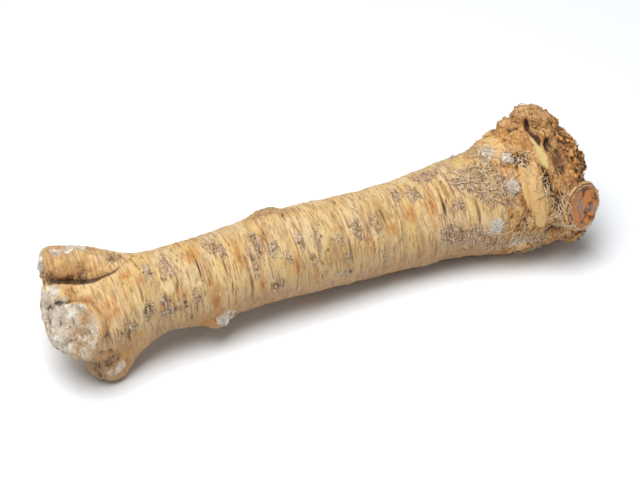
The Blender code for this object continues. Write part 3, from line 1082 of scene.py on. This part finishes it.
class Skin:
    """The finished skin's points and normals, from which trimmings pick their places and ways."""

    def __init__(self, piece):
        self.points, self.normals, _ = mesh_arrays(piece.data)

    def pick(self, weights, count, seed):
        """Points chosen at random by their weights."""
        draw = np.random.default_rng(seed)
        return draw.choice(len(weights), size=count, p=weights / weights.sum())

    def round_way(self, chosen, spread, seed):
        """Unit ways along the skin at the chosen points: round the root, turned by a random angle."""
        draw = np.random.default_rng(seed)
        out = self.normals[chosen]
        around = np.cross(out, (1.0, 0.0, 0.0))
        around /= np.linalg.norm(around, axis=1)[:, None] + 1e-6
        onward = np.cross(around, out)
        angle = draw.normal(size=len(chosen)) * spread + draw.integers(0, 2, len(chosen)) * np.pi
        return around * np.cos(angle)[:, None] + onward * np.sin(angle)[:, None]


def nearest(points, cloud):
    """For each point the number of the nearest in the cloud: the least of |c|^2 - 2 p.c, in batches."""
    lengths = (cloud**2).sum(axis=1)
    batches = np.array_split(points, 1 + len(points) // 60)
    return np.concatenate([np.argmin(lengths - 2 * batch @ cloud.T, axis=1) for batch in batches])


def strands(name, skin, chosen, ways, lengths, width, lift, curl, seed):
    """Thin strands: each runs its way from a chosen point, bends sideways by curl times t squared, lies on
    the nearest skin raised by an arch lift * sin(pi t), and carries a tapering three-sided outline."""
    draw = np.random.default_rng(seed)
    steps = STRAND_STEPS
    t = np.linspace(0, 1, steps)[None, :, None]
    count = len(chosen)
    start, out = skin.points[chosen][:, None, :], skin.normals[chosen][:, None, :]
    ways, lengths = ways[:, None, :], lengths[:, None, None]
    bend = draw.normal(size=(count, 1, 1)) * curl
    path = start + lengths * (t * ways + bend * t**2 * np.cross(out, ways))
    low, high = path.reshape(-1, 3).min(axis=0) - SEARCH, path.reshape(-1, 3).max(axis=0) + SEARCH
    close = np.flatnonzero(((skin.points > low) & (skin.points < high)).all(axis=1))
    found = close[nearest(path.reshape(-1, 3), skin.points[close])]
    normals = skin.normals[found].reshape(path.shape)
    rise = draw.uniform(0.2, 1.0, size=(count, 1, 1)) * lift
    path = skin.points[found].reshape(path.shape) + normals * (rise * np.sin(np.pi * (0.08 + 0.84 * t)))
    path[:, 1:-1] = (path[:, :-2] + 2 * path[:, 1:-1] + path[:, 2:]) / 4
    along = np.gradient(path, axis=1)
    across = np.cross(along, normals)
    across /= np.linalg.norm(across, axis=2)[:, :, None] + 1e-6
    turn = np.arange(STRAND_SIDES) * TURN / STRAND_SIDES
    ring = np.cos(turn)[None, None, :, None] * across[:, :, None, :]
    ring = ring + np.sin(turn)[None, None, :, None] * normals[:, :, None, :]
    girth = width * draw.uniform(0.6, 1.3, size=(count, 1, 1)) * (1 - 0.7 * t)
    points = path[:, :, None, :] + ring * girth[:, :, None, :]
    f, s, k = np.meshgrid(np.arange(count), np.arange(steps - 1), np.arange(STRAND_SIDES), indexing="ij")
    here = (f * steps + s) * STRAND_SIDES
    ahead, beside = here + STRAND_SIDES, (k + 1) % STRAND_SIDES
    faces = np.stack((here + k, here + beside, ahead + beside, ahead + k), axis=-1)
    return new_piece(name, points.reshape(-1, 3), faces.reshape(-1, 4))


def flakes(name, skin, chosen, ways, seed):
    """Bark flakes: thin four-sided scales, each lying along its way and curling off the skin at one end."""
    draw = np.random.default_rng(seed)
    rows, columns = 4, 3
    a, b = np.meshgrid(np.linspace(0, 1, rows), np.linspace(-0.5, 0.5, columns), indexing="ij")
    a, b = a[None, :, :, None], b[None, :, :, None]
    count = len(chosen)
    shape = (count, 1, 1, 1)
    start, out = skin.points[chosen][:, None, None, :], skin.normals[chosen][:, None, None, :]
    ways = ways[:, None, None, :]
    side = np.cross(out, ways)
    long, wide = draw.uniform(1.4, 3.8, shape), draw.uniform(0.8, 2.0, shape)
    rise = draw.uniform(0.1, 0.6, shape) * long
    wave = 0.25 * draw.normal(size=(count, rows, columns, 1))
    points = start + ways * long * (a - 0.3) + side * wide * b * (1.1 - 0.7 * a)
    points = points + out * (rise * a**1.6 - 0.25 + wave - 0.5 * b * b)
    f, i, j = np.meshgrid(np.arange(count), np.arange(rows - 1), np.arange(columns - 1), indexing="ij")
    corner = (f * rows + i) * columns + j
    faces = np.stack((corner, corner + columns, corner + columns + 1, corner + 1), axis=-1)
    piece = new_piece(name, points.reshape(-1, 3), faces.reshape(-1, 4))
    thick = piece.modifiers.new("thickness", "SOLIDIFY")
    thick.thickness = FLAKE_THICKNESS * MM
    return piece


def crumbs(name, skin, chosen, low, high, seed):
    """Crumbs: eight-sided grains, every corner its own distance from the middle, set half into the skin."""
    draw = np.random.default_rng(seed)
    corners = np.array(((1, 0, 0), (0, 1, 0), (-1, 0, 0), (0, -1, 0), (0, 0, 1), (0, 0, -1)), float)
    upper = ((0, 1, 4), (1, 2, 4), (2, 3, 4), (3, 0, 4))
    lower = ((1, 0, 5), (2, 1, 5), (3, 2, 5), (0, 3, 5))
    sides = np.array(upper + lower)
    count = len(chosen)
    size = draw.uniform(low, high, (count, 1, 1))
    grain = corners + 0.35 * draw.normal(size=(count, len(corners), 3))
    middle = skin.points[chosen][:, None, :] + skin.normals[chosen][:, None, :] * size * 0.4
    points = middle + grain * size
    faces = sides[None, :, :] + len(corners) * np.arange(count)[:, None, None]
    return new_piece(name, points.reshape(-1, 3), faces.reshape(-1, 3))


def near_marks(place, ovals):
    """Weights that gather picks inside oval marks."""
    return place.marks(ovals, 5.0, 12) ** 2


STRAW_BUNDLES = (
    (88, 17, 4, 6), (89, 30, 4, 7), (104, 24, 5, 6), (117, 80, 5, 9), (118, 95, 5, 6), (112, 60, 3, 8),
    (92, -8, 5, 6), (76, 17, 4, 4), (97, 100, 6, 6), (96, -100, 8, 12), (112, 150, 6, 10),
)
HAIRS = (
    (-57, 12, 8, 8), (-36, 30, 5, 6), (33, 30, 4, 5), (12, 38, 5, 6), (-100, 60, 5, 5), (66, 86, 8, 6),
    (-10, -120, 30, 10), (50, -100, 20, 10),
)


# Strands: name, how many, spread of their ways, shortest, longest, width, lift, curl, and the first of
# three seeds.
STRANDS = (
    ("straw_fibres", 380, 0.9, 4, 11, 0.3, 2.0, 0.5, 101),
    ("bark_fibres", 160, 0.6, 3, 9, 0.22, 1.2, 0.4, 104),
    ("wool_tufts", 460, 1.6, 0.8, 2.0, 0.16, 0.6, 1.8, 107),
    ("rootlet_hairs", 46, 0.8, 2.5, 7, 0.12, 1.0, 0.7, 110),
)
FLAKES = 170
FLAKE_SPREAD = 1.0
FLAKE_SEED = 113
CRUMBS = 620
SMALLEST_CRUMB = 0.22
LARGEST_CRUMB = 0.62
CRUMB_SEED = 116
LENGTH_SEED = 7
NOWHERE = 1e-9


def add_trimmings(piece, place, masks):
    """Straw, bark, wool, rootlet hairs, flakes and crumbs on the finished skin, each with its finish."""
    skin = Skin(piece)
    draw = np.random.default_rng(LENGTH_SEED)
    above = ease(skin.points[:, 2], 3.0, 8.0)
    barky = masks["crown"] * above * (1 - masks["strap"]) + NOWHERE
    corky = masks["scurf"] ** 2 * 2 + masks["crown"] * 0.5 + masks["grey"] * 0.6
    weights = {
        "straw_fibres": near_marks(place, STRAW_BUNDLES) * above,
        "bark_fibres": barky,
        "wool_tufts": masks["wool"] * above + NOWHERE,
        "rootlet_hairs": near_marks(place, HAIRS) * above,
    }
    finishes = {
        "straw_fibres": plain_finish("straw", CRUMB, STRAW, 0.6),
        "bark_fibres": plain_finish("bark_fibre", OCHRE, BARK),
        "wool_tufts": plain_finish("wool", WOOL, CHALK, 0.9),
        "rootlet_hairs": plain_finish("rootlet", OCHRE, BARK),
    }
    made = []
    for name, count, spread, shortest, longest, width, lift, curl, seed in STRANDS:
        chosen = skin.pick(weights[name], count, seed)
        ways = skin.round_way(chosen, spread, seed + 1)
        lengths = draw.uniform(shortest, longest, count)
        tuft = strands(name, skin, chosen, ways, lengths, width, lift, curl, seed + 2)
        made.append((tuft, finishes[name]))
    chosen = skin.pick(barky, FLAKES, FLAKE_SEED)
    ways = skin.round_way(chosen, FLAKE_SPREAD, FLAKE_SEED + 1)
    scales = flakes("bark_flakes", skin, chosen, ways, FLAKE_SEED + 2)
    made.append((scales, plain_finish("flake", OCHRE, BARK)))
    chosen = skin.pick(corky * above + NOWHERE, CRUMBS, CRUMB_SEED)
    grains = crumbs("cork_crumbs", skin, chosen, SMALLEST_CRUMB, LARGEST_CRUMB, CRUMB_SEED + 1)
    made.append((grains, plain_finish("crumb", CRUMB, TAN)))
    for trimming, finish in made:
        trimming.data.materials.append(finish)
        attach(trimming, "root")


# ---- Stage -----------------------------------------------------------------------------------------------
CAMERA_TURN = -24.0
CAMERA_RISE = 40.0
CAMERA_DISTANCE = 0.9
CAMERA_LENS = 100.0
SENSOR_WIDTH = 36.0
KEY_PLACE = (-0.26, -0.10, 1.15)
KEY_SIZE = 0.9
KEY_POWER = 17.2
SKY_STRENGTH = 0.26
TABLE_COLOUR = (0.91, 0.94, 0.97, 1.0)
TABLE_ROUGHNESS = 0.9
TABLE_SHINE = 0.1
TABLE_HALF_SIDE = 2500.0
LOOK_AT = Vector((-2.15, 1.4, -1.6)) * MM


def towards(turn, rise):
    """The unit vector that points back from the object at that turn from -Y and that rise, in degrees."""
    a, e = np.radians((turn, rise))
    return Vector((np.sin(a) * np.cos(e), -np.cos(a) * np.cos(e), np.sin(e)))


def aim(obj, place, target):
    """Adds a camera or a lamp at a place, looking at a target."""
    obj.location = place
    obj.rotation_euler = (target - place).to_track_quat("-Z", "Y").to_euler()
    link(obj)


def add_camera(middle):
    """The camera, looking down on the root from the front left."""
    lens = bpy.data.cameras.new("camera")
    lens.lens = CAMERA_LENS
    lens.sensor_width = SENSOR_WIDTH
    lens.clip_start, lens.clip_end = 0.05, 10.0
    camera = bpy.data.objects.new("camera", lens)
    target = middle + LOOK_AT
    aim(camera, target + towards(CAMERA_TURN, CAMERA_RISE) * CAMERA_DISTANCE, target)
    bpy.context.scene.camera = camera


def add_lamp(name, place, size, power):
    """A soft square lamp that looks at the origin."""
    light = bpy.data.lights.new(name, "AREA")
    light.size = size
    light.energy = power
    aim(bpy.data.objects.new(name, light), Vector(place), Vector((0, 0, 0)))


def add_studio():
    """A white table, an even white sky, and a soft lamp nearly overhead, a little to the front and left."""
    points = np.array(((-1, -1, 0), (1, -1, 0), (1, 1, 0), (-1, 1, 0))) * TABLE_HALF_SIDE
    floor = new_piece("floor", points, np.array(((0, 1, 2, 3),)))
    material, _, shader = new_finish("white_table")
    shader.inputs["Base Color"].default_value = TABLE_COLOUR
    shader.inputs["Roughness"].default_value = TABLE_ROUGHNESS
    shader.inputs["Specular IOR Level"].default_value = TABLE_SHINE
    floor.data.materials.append(material)
    add_lamp("key", KEY_PLACE, KEY_SIZE, KEY_POWER)
    world = bpy.data.worlds.new("studio")
    world.use_nodes = True
    sky = world.node_tree.nodes["Background"]
    sky.inputs["Color"].default_value = (1, 1, 1, 1)
    sky.inputs["Strength"].default_value = SKY_STRENGTH
    bpy.context.scene.world = world
    bpy.context.scene.view_settings.view_transform = "Standard"


def main():
    """Loads the frame, sets the stage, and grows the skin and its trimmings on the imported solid."""
    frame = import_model()
    low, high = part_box(NODE)
    add_camera((low + high) / 2)
    add_studio()
    groups = {"rings": rings_group(), "crumbs": crumbs_group(), "blotches": blotch_group()}
    skin, place, masks = make_skin(frame["nodes"][NODE])
    skin.data.materials.append(skin_finish(groups))
    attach(skin, "root")
    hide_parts(NODE)
    add_trimmings(skin, place, masks)
    bpy.context.view_layer.update()


main()
